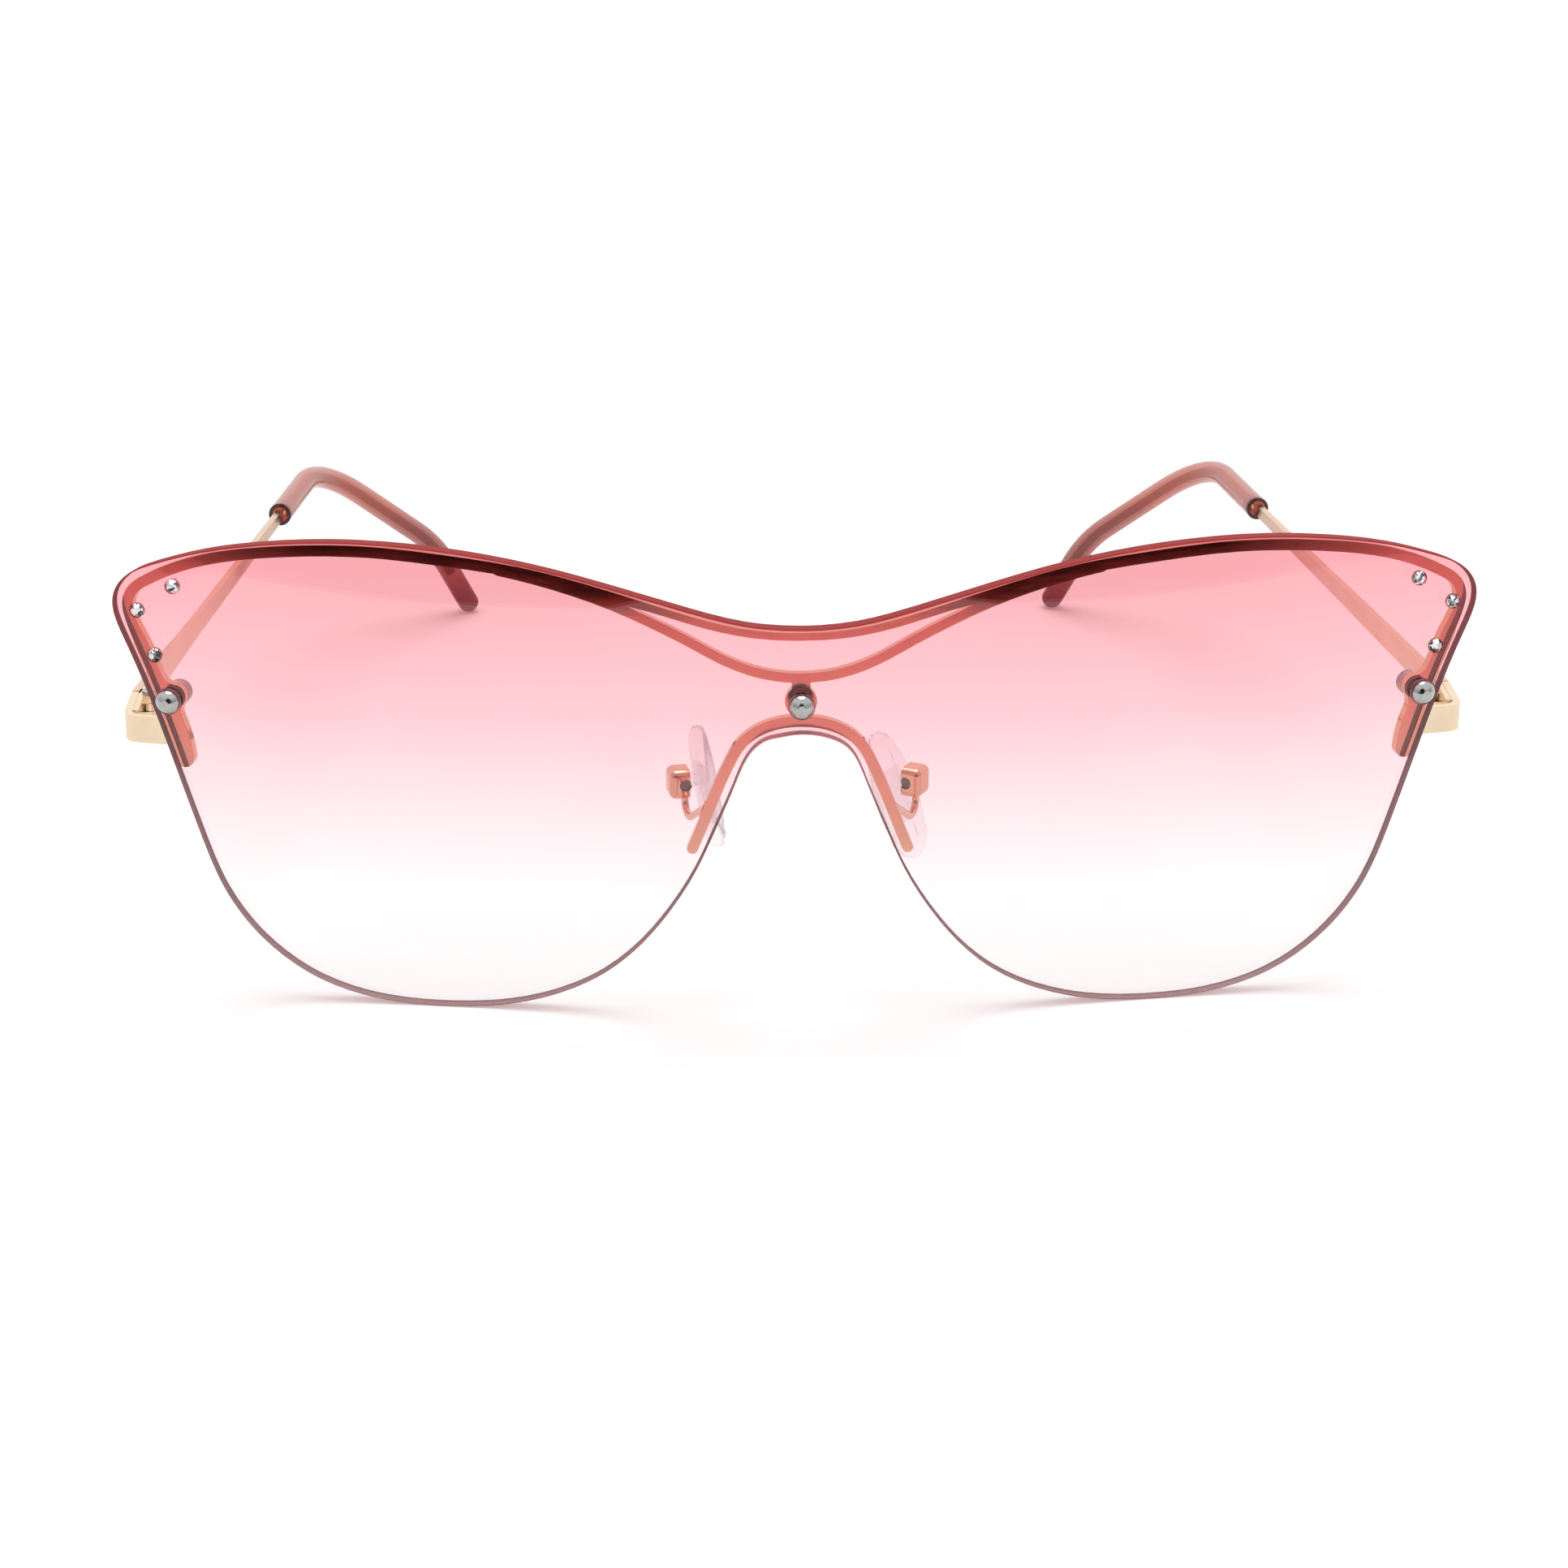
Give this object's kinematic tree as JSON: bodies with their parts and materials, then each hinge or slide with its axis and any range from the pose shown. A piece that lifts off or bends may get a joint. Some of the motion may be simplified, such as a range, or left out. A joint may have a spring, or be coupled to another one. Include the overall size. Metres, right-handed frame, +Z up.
{
  "type": "shield sunglasses",
  "caption": "Rimless shield sunglasses with a rose gradient lens, a slim metal brow frame behind it, set stones, rocking nose pads and folding sleeved temples.",
  "frame": {"origin": "on the ground, midway between the front of the screw heads and the back of the temple tips", "axes": "+X to the wearer's left, +Y from the lens back to the ears, +Z up"},
  "size_m": [0.146, 0.144, 0.0523],
  "materials": {
    "tinted_lens": "clear sheet, rose at the top fading to colourless at the foot",
    "rose_gold": "polished rose gold plating",
    "pale_gold": "polished pale gold plating",
    "polished_steel": "mirror polished",
    "clear_plastic": "clear mauve plastic",
    "stone": "cut and polished",
    "rose_plastic": "smooth dusty rose",
    "silicone": "clear and soft"
  },
  "bodies": {
    "front": {"shield_lens": "tinted_lens", "front_frame": "rose_gold", "lens_screw_centre": "polished_steel", "screw_washer_centre": "clear_plastic", "lens_bush_centre": "clear_plastic", "cap_nut_centre": "clear_plastic", "lens_screw_left": "polished_steel", "screw_washer_left": "clear_plastic", "lens_bush_left": "clear_plastic", "cap_nut_left": "clear_plastic", "lens_screw_right": "polished_steel", "screw_washer_right": "clear_plastic", "lens_bush_right": "clear_plastic", "cap_nut_right": "clear_plastic", "rhinestone_left_top": "stone", "rhinestone_left_corner": "stone", "rhinestone_left_low": "stone", "rhinestone_right_top": "stone", "rhinestone_right_corner": "stone", "rhinestone_right_low": "stone", "end_piece_left": "pale_gold", "front_hinge_leaf_left": "pale_gold", "hinge_screw_left": "polished_steel", "pad_arm_left": "rose_gold", "pad_box_left": "rose_gold", "pad_screw_left": "polished_steel", "end_piece_right": "pale_gold", "front_hinge_leaf_right": "pale_gold", "hinge_screw_right": "polished_steel", "pad_arm_right": "rose_gold", "pad_box_right": "rose_gold", "pad_screw_right": "polished_steel"},
    "temple_left": {"temple_arm_left": "pale_gold", "temple_hinge_leaf_left": "pale_gold", "tip_sleeve_left": "rose_plastic"},
    "temple_right": {"temple_arm_right": "pale_gold", "temple_hinge_leaf_right": "pale_gold", "tip_sleeve_right": "rose_plastic"},
    "nose_pad_left": {"nose_pad_left": "silicone", "pad_lug_left": "clear_plastic"},
    "nose_pad_right": {"nose_pad_right": "silicone", "pad_lug_right": "clear_plastic"}
  },
  "joints": [
    {"name": "temple_fold_left", "type": "hinge", "parent": "front", "child": "temple_left", "pos_m": [0.0709, -0.05038, 0.0292], "axis": [0, 0, 1], "range_deg": [-6.5, 78.5]},
    {"name": "temple_fold_right", "type": "hinge", "parent": "front", "child": "temple_right", "pos_m": [-0.0709, -0.05038, 0.0292], "axis": [0, 0, -1], "range_deg": [-6.5, 67.5]},
    {"name": "pad_rock_left", "type": "hinge", "parent": "front", "child": "nose_pad_left", "pos_m": [0.0124, -0.05922, 0.02324], "axis": [-0.5, -0.866, 0], "range_deg": [-33, 1]},
    {"name": "pad_rock_right", "type": "hinge", "parent": "front", "child": "nose_pad_right", "pos_m": [-0.0124, -0.05922, 0.02324], "axis": [-0.2079, 0.9781, 0], "range_deg": [-3, 13]}
  ]
}
